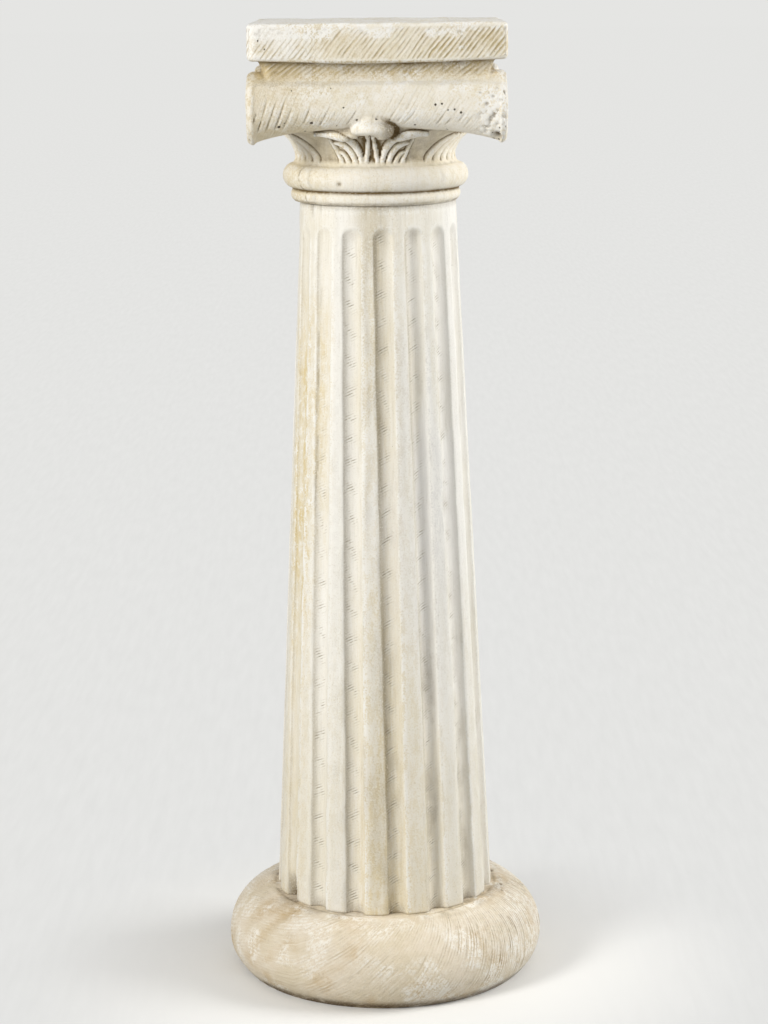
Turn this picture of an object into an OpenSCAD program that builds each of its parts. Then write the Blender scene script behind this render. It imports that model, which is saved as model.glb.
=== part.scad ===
// Fluted pedestal column with a bolster capital, cast in three pieces.
// Millimetres, +Z up, origin on the floor at the centre of the base disc.
// The front of the capital, with a bolster across it, faces -Y.

/* [Column] */
// Height from the floor to the top of the abacus
column_h = 960; // [860:5:1060]

/* [Base] */
// Widest diameter of the bun-shaped base disc
base_d = 322; // [300:2:360]
// Height of the base disc, up to the seat of the shaft
base_h = 84; // [76:1:96]
// Radius of the rounded shoulder of the base disc
base_shoulder_r = 50; // [40:1:52]
// Diameter of the flat underside that stands on the floor
base_foot_d = 286; // [270:2:290]

/* [Shaft] */
// Diameter of the shaft where it stands on the base
shaft_foot_d = 220; // [200:2:228]
// Diameter of the shaft under the capital
shaft_neck_d = 154; // [145:1:158]
// Number of flutes
flute_count = 16; // [12:1:18]
// Width of a flute from edge to edge
flute_w = 20; // [12:0.5:21]
// Depth of a flute at its middle, at the foot of the shaft
flute_depth = 7; // [4:0.5:8]
// Depth of a flute at its middle, at its rounded top
flute_top_depth = 5; // [3:0.5:8]
// Plain band between the tops of the flutes and the capital
flute_top_band = 22; // [15:1:40]
// Slow turn of the flutes from their tops to the foot, in degrees
flute_twist = 4; // [0:0.5:6]

/* [Capital] */
// Side of the square abacus
abacus_w = 244; // [238:1:250]
// Thickness of the abacus
abacus_h = 36; // [30:1:42]
// Radius of the four upright corners of the abacus
abacus_corner_r = 10; // [4:1:16]
// Length of each bolster across the capital
bolster_len = 246; // [232:1:250]
// Diameter of a bolster at its flared ends
bolster_end_d = 70; // [62:1:72]
// Diameter of a bolster at its waist
bolster_waist_d = 46; // [42:1:52]
// Diameter of the round torus moulding
torus_d = 183; // [176:1:188]
// Height of the round torus moulding
torus_h = 23; // [20:0.5:26]
// Diameter of the thin astragal bead
astragal_d = 168; // [164:1:172]
// Height of the thin astragal bead
astragal_h = 13; // [10:0.5:15]
// Thickness of the carved leaves on the bell
leaf_relief = 3; // [1.5:0.5:5]

/* [Hidden] */

plaster = "#e9e4d6";
aged_plaster = "#ded2ba";
$fn = 96;
overlap = 1;

// levels, from the floor up
capital_h = 174;
capital_z = column_h - capital_h;
torus_z = capital_z + astragal_h;
bell_z = torus_z + torus_h;
abacus_z = column_h - abacus_h;
bolster_z = column_h - 80;

// shaft
shaft_h = capital_z - base_h;
flute_cutter_r = (pow(flute_w / 2, 2) + pow(flute_depth, 2)) / (2 * flute_depth);
flute_end_z = capital_z - flute_top_band - flute_w / 2;
// turn of the middle flute from the front, at the tops of the flutes
flute_start_a = 3;
// turn of a fillet, halfway down the shaft
fillet_a = flute_start_a + flute_twist / 2 - 180 / flute_count;

// capital
bell_r = 75;
bell_arc_r = 36;
bell_h = 36;
bell_lip = 6;
abacus_edge = 4;
bolster_y = 89;
bolster_rim_r = 6;
bolster_flare = 3.2;
cove_w = 214;
cove_d = 218;
cove_r = 13;
cove_out = 10;
cove_z = abacus_z - 9;
band_w = 228;
band_h = 22;
band_drop = 2;
volute_groove_w = 3;
volute_groove_depth = 2;
volute_turns = 2;
knob_d = 42;
knob_h = 20;
knob_aside = 4.5;
knob_y = 100;
knob_z = abacus_z - 63;

// radius of the shaft at a height, before fluting
function shaft_r(z) = let (t = (z - base_h) / shaft_h) (shaft_foot_d * (1 - t) + shaft_neck_d * t) / 2;
// point at a radius, at a turn from the front towards +X
function around(r, a, z) = [r * sin(a), -r * cos(a), z];
// point of a bend from a to c that leans towards b
function bend(a, b, c, t) = a * (1 - t) * (1 - t) + b * 2 * t * (1 - t) + c * t * t;
// unit vector to the left of the way from a to b
function left_of(a, b) = let (d = b - a) [-d[1], d[0]] / norm(d);

// stands its children, drawn up +Z from the origin, along the way between two points
module along(from, to) {
    d = to - from;
    translate(from) rotate([0, acos(d[2] / norm(d)), atan2(d[1], d[0])]) children();
}

// round bar with a domed top end
module domed_bar(length, r) {
    rotate_extrude()
        union() {
            square([r, length]);
            intersection() {
                translate([0, length]) circle(r = r);
                translate([0, length - overlap]) square([r, r + overlap]);
            }
        }
}

// a leaf blade in outline: a bent strip that narrows from its root to its tip
module blade(root, lean, tip, root_w, tip_w = 1.2) {
    steps = 6;
    mid = [for (i = [0:steps]) bend(root, lean, tip, i / steps)];
    side = [for (i = [0:steps]) left_of(mid[max(i - 1, 0)], mid[min(i + 1, steps)])];
    half = [for (i = [0:steps]) (root_w + (tip_w - root_w) * pow(i / steps, 1.5)) / 2];
    polygon(concat(
        [for (i = [0:steps]) mid[i] + side[i] * half[i]],
        [for (i = [steps:-1:0]) mid[i] - side[i] * half[i]]
    ));
}

// outlines of the palmette under the knob, measured from the foot of the bell: a forked stem, the long frond
// that runs out under the bolster, and three shorter fronds below it
module palmette_blades() {
    for (s = [-1, 1]) {
        blade([s * 5.6, -2], [s * 4.6, 12], [s * 2, 30], 5.6, 4);
        blade([s * 10, -2], [s * 9, 38], [s * 50, 31], 6, 4);
        blade([s * 16, -2], [s * 17, 23], [s * 34, 23], 5.6, 4);
        blade([s * 22.6, -2], [s * 24, 13], [s * 31, 16], 4.4, 3);
        blade([s * 29, -2], [s * 35, 13], [s * 40, 28], 4.2, 3);
    }
}

// outlines of the side leaf, a sheaf of blades that lean together towards their tips
module sheaf_blades() {
    for (s = [-1, 1], k = [0:4])
        blade([s * (58 - 10.5 * k), -2], [s * (55 - 10 * k), 14], [s * (43 - 9.6 * k), 32], 8, 4);
}

// the bell that flares from the torus up to the bolsters
module bell(extra = 0) {
    translate([0, 0, bell_z - overlap])
        rotate_extrude()
            difference() {
                square([bell_r + bell_arc_r - bell_lip, bell_h + overlap]);
                translate([bell_r + bell_arc_r, overlap]) circle(r = bell_arc_r - extra);
                translate([bell_r + extra, -overlap]) square([bell_arc_r, 2 * overlap]);
            }
}

// blades stood up on the side of the bell that faces a turn from the front
module leaf_relief_at(turn) {
    intersection() {
        bell(leaf_relief);
        rotate([0, 0, turn])
            translate([0, -bell_r / 2, bell_z])
                rotate([90, 0, 0])
                    linear_extrude(height = bell_r) children();
    }
}

// round moulding: a half-round edge on a disc
module round_moulding(d, h, z) {
    translate([0, 0, z])
        rotate_extrude()
            union() {
                square([d / 2 - h / 2, h]);
                translate([d / 2 - h / 2, h / 2])
                    intersection() {
                        circle(r = h / 2);
                        translate([-h / 2, -h / 2]) square([h, h]);
                    }
            }
}

// square slab with rounded upright corners
module slab(w, d, h, r) {
    linear_extrude(height = h)
        union() {
            square([w - 2 * r, d], center = true);
            square([w, d - 2 * r], center = true);
            for (x = [-1, 1], y = [-1, 1])
                translate([x * (w / 2 - r), y * (d / 2 - r)]) circle(r = r);
        }
}

module abacus() {
    inner_w = abacus_w - abacus_edge;
    translate([0, 0, abacus_z]) slab(inner_w, inner_w, abacus_h, abacus_corner_r);
    translate([0, 0, abacus_z + abacus_edge / 2])
        slab(abacus_w, abacus_w, abacus_h - abacus_edge, abacus_corner_r + abacus_edge / 2);
}

// neck block under the abacus, with a cove run along its front and back
module neck() {
    difference() {
        translate([-cove_w / 2, -cove_d / 2, bolster_z])
            cube([cove_w, cove_d, abacus_z - bolster_z + overlap]);
        for (s = [-1, 1])
            translate([-cove_w, s * (cove_d / 2 + cove_out), cove_z])
                rotate([0, 90, 0]) cylinder(h = 2 * cove_w, r = cove_r);
    }
    // core between the two bolsters
    core_z = bell_z + bell_h - bell_lip;
    translate([-cove_w / 2, -bolster_y, core_z])
        cube([cove_w, 2 * bolster_y, bolster_z - core_z + overlap]);
}

// radius of a bolster at a distance from its middle, as a share of its half length
function bolster_r(t) =
    bolster_waist_d / 2 + (bolster_end_d - bolster_waist_d) / 2 * pow(t, bolster_flare);

module bolster() {
    half = bolster_len / 2;
    steps = 14;
    inner = half - bolster_rim_r;
    outline = [for (i = [-steps:steps]) [bolster_r(abs(i) / steps * inner / half), inner * i / steps]];
    translate([0, 0, bolster_z])
        rotate([0, 90, 0])
            rotate_extrude()
                union() {
                    polygon(concat([[0, -inner]], outline, [[0, inner]]));
                    for (s = [-1, 1])
                        translate([0, s * inner]) bolster_rim();
                }
}

// rounded rim of a bolster's end, in its profile
module bolster_rim() {
    r = bolster_end_d / 2 - bolster_rim_r;
    translate([0, -bolster_rim_r]) square([r, 2 * bolster_rim_r]);
    intersection() {
        translate([r, 0]) circle(r = bolster_rim_r);
        translate([r - overlap, -bolster_rim_r])
            square([bolster_rim_r + overlap, 2 * bolster_rim_r]);
    }
}

// spiral groove of a volute: eye at the middle, opening towards the band
module volute_groove(mirrored) {
    steps = 40;
    eye_r = 6;
    rim_r = bolster_end_d / 2 - bolster_rim_r;
    turn = [for (i = [0:steps]) 90 - 360 * volute_turns * i / steps];
    reach = [for (i = [0:steps]) eye_r + (rim_r - eye_r) * i / steps];
    way = mirrored ? -1 : 1;
    inner = [for (i = [0:steps]) (reach[i] - volute_groove_w / 2) * [way * cos(turn[i]), sin(turn[i])]];
    outer = [for (i = [steps:-1:0]) (reach[i] + volute_groove_w / 2) * [way * cos(turn[i]), sin(turn[i])]];
    linear_extrude(height = 2 * volute_groove_depth, center = true) polygon(concat(inner, outer));
}

module volutes_cut() {
    for (side = [-1, 1], s = [-1, 1])
        translate([side * bolster_len / 2, s * bolster_y, bolster_z])
            rotate([90, 0, 90]) volute_groove(s > 0);
}

// flat band that joins the two volutes of a side
module volute_band() {
    translate([-band_w / 2, -bolster_y, bolster_z + bolster_end_d / 2 - band_h - band_drop])
        cube([band_w, 2 * bolster_y, band_h]);
}

// curled tip of the middle leaf, a flat round knob
module knob() {
    steps = 16;
    translate([-knob_aside, -knob_y, knob_z])
        rotate_extrude()
            polygon([for (i = [0:steps])
                [knob_d / 2 * cos(180 * i / steps - 90), knob_h / 2 * sin(180 * i / steps - 90)]]);
}

module base() {
    shoulder_z = base_h - base_shoulder_r;
    shoulder_x = base_d / 2 - base_shoulder_r;
    rise = base_d / 2 - base_foot_d / 2;
    under_r = (pow(rise, 2) + pow(shoulder_z, 2)) / (2 * rise);
    color(aged_plaster)
        rotate_extrude($fn = 128)
            union() {
                square([shoulder_x, base_h]);
                intersection() {
                    translate([shoulder_x, shoulder_z]) circle(r = base_shoulder_r);
                    translate([0, shoulder_z]) square([base_d, base_h]);
                }
                intersection() {
                    translate([base_d / 2 - under_r, shoulder_z]) circle(r = under_r);
                    square([base_d, shoulder_z]);
                }
                square([base_foot_d / 2, shoulder_z]);
            }
}

module flute(i) {
    pitch = 360 / flute_count;
    top_a = flute_start_a + i * pitch;
    low_z = base_h - 2 * flute_w;
    low_a = top_a + flute_twist * (flute_end_z - low_z) / (flute_end_z - base_h);
    top = around(shaft_r(flute_end_z) + flute_cutter_r - flute_top_depth, top_a, flute_end_z);
    low = around(shaft_r(low_z) + flute_cutter_r - flute_depth, low_a, low_z);
    along(low, top) rotate([0, 0, 180]) domed_bar(norm(top - low), flute_cutter_r);
}

module shaft() {
    color(plaster)
        difference() {
            translate([0, 0, base_h])
                rotate([0, 0, fillet_a])
                    cylinder(h = shaft_h, d1 = shaft_foot_d, d2 = shaft_neck_d);
            for (i = [0:flute_count - 1]) flute(i);
        }
}

module capital() {
    color(plaster)
        difference() {
            union() {
                round_moulding(astragal_d, astragal_h, capital_z);
                round_moulding(torus_d, torus_h, torus_z);
                bell();
                for (turn = [0, 180]) {
                    leaf_relief_at(turn) palmette_blades();
                    rotate([0, 0, turn]) knob();
                }
                for (turn = [90, 270]) leaf_relief_at(turn) sheaf_blades();
                neck();
                volute_band();
                for (s = [-1, 1]) translate([0, s * bolster_y, 0]) bolster();
                abacus();
            }
            volutes_cut();
        }
}

base();
shaft();
capital();
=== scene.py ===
# %% [markdown]
# # A fluted pedestal column, cast in plaster
# The column is three castings that stand on one another: a bun-shaped base, a tapering fluted shaft, and a
# capital with leaves, a knob and two rolls under a square abacus. Each one is modelled here as a single
# closed skin over its plain solid, at its true size, and takes its marks from the way it was made: combed,
# scraped, filled and handled.

# %% Load the plain solids and measure them
import math

import bpy
import numpy as np
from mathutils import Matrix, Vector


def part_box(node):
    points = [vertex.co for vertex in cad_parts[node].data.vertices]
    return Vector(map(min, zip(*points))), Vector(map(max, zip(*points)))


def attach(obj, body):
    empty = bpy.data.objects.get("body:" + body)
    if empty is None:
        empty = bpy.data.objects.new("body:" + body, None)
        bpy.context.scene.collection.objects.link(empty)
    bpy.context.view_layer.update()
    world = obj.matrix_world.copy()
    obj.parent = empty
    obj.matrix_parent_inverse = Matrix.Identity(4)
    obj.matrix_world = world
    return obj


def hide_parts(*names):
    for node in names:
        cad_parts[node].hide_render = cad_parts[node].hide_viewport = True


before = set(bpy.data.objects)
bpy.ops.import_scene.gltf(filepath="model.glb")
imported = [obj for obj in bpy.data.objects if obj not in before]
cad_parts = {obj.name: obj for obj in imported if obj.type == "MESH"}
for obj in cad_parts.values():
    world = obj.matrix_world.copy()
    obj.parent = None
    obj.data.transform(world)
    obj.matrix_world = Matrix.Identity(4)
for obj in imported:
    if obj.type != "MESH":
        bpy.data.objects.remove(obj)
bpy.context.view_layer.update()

MM = 0.001
base_low, base_high = (np.array(corner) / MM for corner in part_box("base"))
shaft_low, shaft_high = (np.array(corner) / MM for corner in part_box("shaft"))
cap_low, cap_high = (np.array(corner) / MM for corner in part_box("capital"))
print("base", base_high - base_low, "shaft", shaft_high - shaft_low, "capital", cap_high - cap_low)

# %% [markdown]
# ## Noise made by hand
# Plaster is never even: it swells, dries and wears in patches. Blender's noise texture could move the
# points through a modifier, but the same noise is also wanted for the stains, so it is worked out here with
# arrays. Random numbers sit on a lattice and are blended smoothly between its corners.

# %% Smooth noise over points in millimetres
def lattice_value(cell, seed):
    """Random number from 0 to 1 that belongs to a corner of the lattice."""
    mixed = cell[..., 0] * 374761393 + cell[..., 1] * 668265263 + cell[..., 2] * 1274126177 + seed * 974711
    mixed = (mixed ^ (mixed >> 13)) * 1103515245
    mixed = mixed ^ (mixed >> 16)
    return (mixed & 0xFFFFF) / 0xFFFFF


def noise(points, size, seed=0):
    """Noise from -1 to 1 that changes over about size millimetres; size may differ along x, y and z."""
    place = points / np.asarray(size, float)
    cell = np.floor(place).astype(np.int64)
    part = place - cell
    part = part * part * (3 - 2 * part)
    total = np.zeros(points.shape[:-1])
    for corner in np.ndindex(2, 2, 2):
        corner = np.array(corner)
        share = np.where(corner == 1, part, 1 - part).prod(-1)
        total += share * lattice_value(cell + corner, seed)
    return total * 2 - 1


def rough_noise(points, size, seed=0, layers=3):
    """Noise with finer and fainter layers on top of it."""
    size = np.asarray(size, float)
    total = sum(noise(points, size / 2**k, seed + 7 * k) / 2**k for k in range(layers))
    return total / (2 - 2.0 ** (1 - layers))


def ramp(value, low, high):
    """0 below low, 1 above high, and smooth between them."""
    t = np.clip((value - low) / (high - low), 0, 1)
    return t * t * (3 - 2 * t)


def hump(value, middle, half, power=2):
    """1 at the middle and falling off on both sides of it; a higher power gives a flatter top."""
    return np.exp(-(((value - middle) / half) ** power))


def around(points):
    """Turn of each point from the front of the column towards +X, in degrees."""
    return np.degrees(np.arctan2(points[..., 0], -points[..., 1]))


print("noise spread", np.round(noise(np.random.default_rng(1).random((2000, 3)) * 90, 9).std(), 2))

# %% [markdown]
# ## Comb marks
# The maker dragged a toothed tool over the stiffening plaster. Each tooth leaves a groove that starts, fades
# and wanders by itself. A groove is worked out from two coordinates on the surface: how far a point lies
# across the strokes, and how far along them.

# %% Depth of combed grooves
def combed(across, along, pitch, seed, width=0.34, patchy=0.3):
    """Depth from 0 to 1 of grooves cut side by side, pitch millimetres apart."""
    lane = np.floor(across / pitch + 0.5)
    off_middle = across / pitch - lane
    lane_shift = lattice_value(np.stack([lane, lane * 0, lane * 0], -1).astype(np.int64), seed)
    groove = np.clip(1 - np.abs(off_middle + 0.1 * (lane_shift - 0.5)) / width, 0, 1)
    strokes = np.stack([lane * 9.7, along / 22 + lane_shift * 5, lane * 0], -1)
    strength = ramp(noise(strokes, 1.0, seed + 3), -patchy - 0.5, 0.5 - patchy)
    return groove**1.2 * strength


comb_test = combed(np.linspace(0, 40, 400), np.zeros(400), 4.0, 1)
print("share of the surface under the comb's teeth", round(float((comb_test > 0.1).mean()), 2))


# %% [markdown]
# ## From a grid of points to a closed skin
# The base, the shaft and each part of the capital start as a grid: rows that run up the piece, and columns
# around it. Closing the first and the last row with a fan of triangles makes a watertight skin, which is
# what a casting is.

# %% Grid to mesh
def skin(rows, name):
    """Closed mesh object from an array of rows of points, in millimetres, joined around each row."""
    row_count, column_count, _ = rows.shape
    low_middle = rows[0].mean(0)
    high_middle = rows[-1].mean(0)
    points = np.concatenate([rows.reshape(-1, 3), low_middle[None], high_middle[None]])
    column = np.arange(column_count)
    after = np.roll(column, -1)
    start = (np.arange(row_count - 1) * column_count)[:, None]
    quads = np.stack([start + column, start + after, start + column_count + after,
                      start + column_count + column], -1).reshape(-1, 4)
    last = (row_count - 1) * column_count
    low_fan = np.stack([after, column, np.full(column_count, len(points) - 2)], -1)
    high_fan = np.stack([last + column, last + after, np.full(column_count, len(points) - 1)], -1)
    mesh = bpy.data.meshes.new(name)
    faces = quads.tolist() + low_fan.tolist() + high_fan.tolist()
    mesh.from_pydata((points * MM).tolist(), [], faces)
    mesh.shade_smooth()
    piece = bpy.data.objects.new(name, mesh)
    bpy.context.scene.collection.objects.link(piece)
    return piece


def outward(rows):
    """Unit direction out of the surface at each point of a grid."""
    along_row = np.roll(rows, -1, 1) - np.roll(rows, 1, 1)
    up = np.gradient(rows, axis=0)
    out = np.cross(along_row, up)
    return out / np.maximum(np.linalg.norm(out, axis=-1, keepdims=True), 1e-9)


def arc(middle_x, middle_z, radius, start, end, steps):
    """Points of an arc of a profile, from one angle to another in degrees."""
    angle = np.radians(np.linspace(start, end, steps))
    return np.stack([middle_x + radius * np.cos(angle), middle_z + radius * np.sin(angle)], -1)


def revolve(profile, columns):
    """Grid from a profile of (radius, height) points turned about the column's axis, from the front."""
    turn = np.linspace(0, 2 * math.pi, columns, endpoint=False)
    radius = profile[:, :1]
    height = profile[:, 1:] + np.zeros(columns)
    return np.stack([radius * np.sin(turn), -radius * np.cos(turn), height], -1)


print("a quarter of a circle ends at", np.round(arc(0, 0, 10, 0, 90, 3)[-1], 2))


# %% Reading and moving a mesh's points
def set_values(piece, name, values):
    """Stores a number for each point of the mesh, for a material to read."""
    attribute = piece.data.attributes.new(name, "FLOAT", "POINT")
    attribute.data.foreach_set("value", values.astype(np.float32))


def points_of(piece):
    """Points of a mesh in millimetres."""
    flat = np.zeros(len(piece.data.vertices) * 3, np.float32)
    piece.data.vertices.foreach_get("co", flat)
    return flat.reshape(-1, 3).astype(float) / MM


def normals_of(piece):
    """Unit direction out of the surface at each point of a mesh."""
    flat = np.zeros(len(piece.data.vertices) * 3, np.float32)
    piece.data.vertices.foreach_get("normal", flat)
    return flat.reshape(-1, 3).astype(float)


def move_points(piece, points):
    """Puts a mesh's points at new places, in millimetres."""
    piece.data.vertices.foreach_set("co", (points * MM).astype(np.float32).ravel())
    piece.data.update()


def hollowness(piece, rounds):
    """How far each point lies below the average of its neighbourhood, in millimetres; ridges are negative."""
    points = points_of(piece)
    flat = np.zeros(len(piece.data.edges) * 2, np.int64)
    piece.data.edges.foreach_get("vertices", flat)
    first, second = flat.reshape(-1, 2).T
    count = np.bincount(first, minlength=len(points)) + np.bincount(second, minlength=len(points))
    smooth = points.copy()
    for _ in range(rounds):
        total = np.stack([np.bincount(first, smooth[second, k], len(points))
                          + np.bincount(second, smooth[first, k], len(points)) for k in range(3)], -1)
        smooth = smooth * 0.4 + 0.6 * total / np.maximum(count, 1)[:, None]
    return ((smooth - points) * normals_of(piece)).sum(-1)


def report(piece):
    """Prints a piece's size in triangles and millimetres."""
    points = points_of(piece)
    triangles = sum(len(face.vertices) - 2 for face in piece.data.polygons)
    print(piece.name, triangles, "triangles,", np.round(points.min(0), 1), "to", np.round(points.max(0), 1))


# %% [markdown]
# ## The base
# The base is a low bun: a narrow foot, a belly that bulges a little above the floor, and a rounded shoulder
# that runs in under the shaft. It could be a lathe shape made with a Screw modifier, but its surface carries
# strokes that swirl around it, so it is a revolved grid whose points can be pushed in and out. Each mark has
# its zone, given by the turn from the front in degrees and by the run up the profile in millimetres.

# %% Profile of the bun
belly_r = (base_high[0] - base_low[0]) / 2
seat_z = base_high[2]
shoulder_r = 50.0
foot_r = belly_r - 17
belly_z = seat_z - shoulder_r
under_r = ((belly_r - foot_r) ** 2 + belly_z**2) / (2 * (belly_r - foot_r))
under_start = -math.degrees(math.asin(belly_z / under_r))
ROW = 1.3
under_part = arc(belly_r - under_r, belly_z, under_r, under_start, 0, int(belly_z / ROW))
shoulder_part = arc(belly_r - shoulder_r, belly_z, shoulder_r, 0, 90, int(shoulder_r * 1.57 / ROW))
foot_part = np.stack([np.linspace(8, foot_r, 8), np.zeros(8)], -1)
seat_part = np.stack([np.linspace(belly_r - shoulder_r, 8, 12), np.full(12, seat_z)], -1)
bun_profile = np.concatenate([foot_part, under_part[1:], shoulder_part[1:], seat_part[1:]])
bun = revolve(bun_profile, 880)
bun_out = outward(bun)
print("bun profile", len(bun_profile), "rows")

# %% Strokes, lumps and scars on the base
turn = around(bun)
# run is measured along the profile, from the edge of the foot up to the flat seat and across it
run = np.concatenate([[0], np.cumsum(np.linalg.norm(np.diff(bun_profile, axis=0), axis=1))])[:, None]
run = run - run[len(foot_part)] + np.zeros(bun.shape[1])
seat_run = 117.0
girth = np.radians(turn) * (belly_r - 23)
# strokes lean more and more towards the left side, and stand upright at the right
lean_turns = [-180, -100, -62, -35, 0, 30, 60, 130, 180]
leans = [1.0, 2.4, 2.3, 1.2, 0.8, 0.5, 0.1, 0.2, 1.0]
lean = np.interp(turn, lean_turns, leans)
wander = 2.4 * noise(bun, 34, 5)
across = (girth - lean * (run - 60) + wander) / np.sqrt(1 + lean**2)
# coarse strokes in front, worn thin at the left, and fine ones that take over at the right
coarse = combed(across, run, 7.5, 11, 0.24, -0.15)
fine = combed(across * 1.04 + 1.7, run, 4.0, 12, 0.42, 0.3)
right_side = ramp(turn, 18, 44) * ramp(-turn, -150, -120)
left_side = ramp(-turn, 28, 46) * ramp(turn, -150, -120)
swept = ramp(run, 10, 26) * ramp(-run, 5 - seat_run, 25 - seat_run)
stroke_depth = swept * (0.4 * coarse * (1 - right_side) * (1 - 0.7 * left_side)
                        + fine * (0.25 + 0.35 * right_side))
lumps = 1.1 * rough_noise(bun, 46, 21, 2) + 0.35 * noise(bun, 13, 23)
grit = 0.25 * rough_noise(bun, 4.2, 25, 2)
# a slanting scar at the left, and a crumbled patch behind the right side
scar = hump(turn - (run - 70) * 0.16, -52, 3.2) * ramp(run, 34, 60) * ramp(-run, -1 - seat_run, 19 - seat_run)
crumbled = ramp(turn, 62, 82) * ramp(-turn, -165, -150) * ramp(run, 46, 70)
crumbled = crumbled * ramp(rough_noise(bun, 8, 31), 0.3, 0.6)
shown = ramp(run, -2, 5) * ramp(-run, -8 - seat_run, 5 - seat_run)
# a bead of filler lies round the foot of the shaft
bead = hump(run, seat_run - 8, 4.5) * (1.2 + noise(bun, 16, 35))
sink = 0.5 + stroke_depth + 1.3 * scar + 1.3 * crumbled - lumps * 0.55 - grit
bun = bun - bun_out * (sink * shown)[..., None]
bun[..., 2] += np.maximum(bead, 0) * ramp(-run, -5 - seat_run, 5 - seat_run) * 0.9
bun[..., 2] = np.maximum(bun[..., 2], 0)
base = skin(bun, "bun_base")
report(base)

# %% Grime, painted shade, scuffs and the run of the strokes on the base, point by point
def padded_row(values):
    """Grid values as one number per mesh point, with the two middles of the fans added."""
    return np.concatenate([values.ravel(), [values[0].mean(), values[-1].mean()]])


bun_points = points_of(base)
hollow = hollowness(base, 14)
# dirt and painted shade darken the foot's rim under the belly, more at the left, and the hollows; dirt lies
# round the shaft; high spots are rubbed white
low_rim_dirt_and_shade = ramp(-bun_points[:, 2], -12, -3) * ramp(rough_noise(bun_points, (9, 9, 5), 41), -0.9, 0.1)
low_rim_dirt_and_shade = low_rim_dirt_and_shade * (0.7 + 0.3 * ramp(-around(bun_points), -30, 10))
under_shaft = padded_row(ramp(run, seat_run - 19, seat_run - 7))
set_values(base, "grime_and_shade", 0.42 * ramp(hollow, 0.02, 0.42) + 1.0 * low_rim_dirt_and_shade + 0.3 * padded_row(crumbled)
           + 0.3 * under_shaft * ramp(rough_noise(bun_points, 12, 42), -0.2, 0.5))
scuffed = ramp(rough_noise(bun_points, 22, 43), -0.15, 0.3)
set_values(base, "scuff_and_highlight", scuffed * ramp(-hollow, -0.1, 0.2)
           + 0.5 * padded_row(right_side) * ramp(-hollow, 0, 0.2))
set_values(base, "stain", 0.8 * ramp(rough_noise(bun_points, 30, 45), 0.0, 0.6) + 0.6 * padded_row(scar))
set_values(base, "pits", padded_row(0.25 * shown))
patchy_comb = 0.3 + 0.7 * ramp(noise(bun, (26, 26, 20), 46), -0.5, 0.3)
combing = swept * (0.35 + 0.5 * right_side - 0.2 * left_side) * patchy_comb
set_values(base, "comb", padded_row(combing))
set_values(base, "across", padded_row(across))
set_values(base, "along", padded_row(run * np.sqrt(1 + lean**2)))
print("share of the base that is scuffed", round(float((scuffed > 0.5).mean()), 2))

# %% [markdown]
# ## The shaft
# The shaft tapers and carries shallow round flutes with flat fillets between them. The flutes were run down
# the plaster with a round scraper, so they keep one width while the fillets narrow towards the top. The
# grid's columns follow the flute edges, which keeps those edges crisp without a very dense mesh.

# %% Flute layout
FLUTES = 16
FLUTE_STEP = 360 / FLUTES
FLUTE_HALF = 10.2
FOOT_DEEP, TOP_DEEP = 7.0, 5.0
foot_half = (shaft_high[0] - shaft_low[0]) / 2
neck_half = 77.0
foot_z, neck_z = shaft_low[2], shaft_high[2]
flute_end = neck_z - 32


def shaft_radius(z):
    """Radius of the shaft, before fluting, at a height."""
    return foot_half + (neck_half - foot_half) * (z - foot_z) / (neck_z - foot_z)


def first_flute(z):
    """Turn of the front flute at a height: the flutes drift slowly round as they go down."""
    return 3 + 4 * (flute_end - z) / (flute_end - foot_z)


def flute_deep(z):
    """Depth of a flute at its middle: the scraper was pressed a little deeper towards the foot."""
    return TOP_DEEP + (FOOT_DEEP - TOP_DEEP) * np.clip((flute_end - z) / (flute_end - foot_z), 0, 1)


ROWS = 376
height_rows = np.linspace(foot_z, neck_z, ROWS)[:, None]
edge_spread = -FLUTE_HALF * np.cos(np.linspace(0, math.pi, 13))
radius_rows = shaft_radius(height_rows)
flute_columns = np.degrees(np.arcsin(edge_spread / radius_rows))
fillet_share = np.linspace(0, 1, 5)[1:-1]
edge_turn = np.degrees(np.arcsin(FLUTE_HALF / radius_rows))
fillet_columns = edge_turn + (FLUTE_STEP - 2 * edge_turn) * fillet_share
one_flute = np.concatenate([flute_columns, fillet_columns], 1)
shaft_turn = np.concatenate([one_flute + first_flute(height_rows) + FLUTE_STEP * k for k in range(FLUTES)], 1)
print("shaft grid", shaft_turn.shape)

# %% Flutes, with two of them half filled at the worn side
def flute_depth_at(z, turn):
    """Depth of the fluting at a height and a turn, and how far round the nearest flute's middle is."""
    from_first = (turn - first_flute(z) + FLUTE_STEP / 2) % FLUTE_STEP - FLUTE_STEP / 2
    off_middle = shaft_radius(z) * np.sin(np.radians(from_first))
    above_end = np.maximum(z - flute_end, 0)
    scraper_r = (FLUTE_HALF**2 + flute_deep(z) ** 2) / (2 * flute_deep(z))
    reach = np.sqrt(np.maximum(scraper_r**2 - off_middle**2 - above_end**2, 0))
    depth = reach - (scraper_r - flute_deep(z))
    return 0.5 * (depth + np.sqrt(depth**2 + 0.12)), off_middle


WORN_TURN = -62.0
turn = (shaft_turn + 180) % 360 - 180
z = height_rows + np.zeros_like(turn)
radius = shaft_radius(z)
surface = np.stack([radius * np.sin(np.radians(turn)), -radius * np.cos(np.radians(turn)), z], -1)
sway = 0.35 * noise(surface, (60, 60, 26), 51)
depth, off_middle = flute_depth_at(z, turn + sway)
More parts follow.
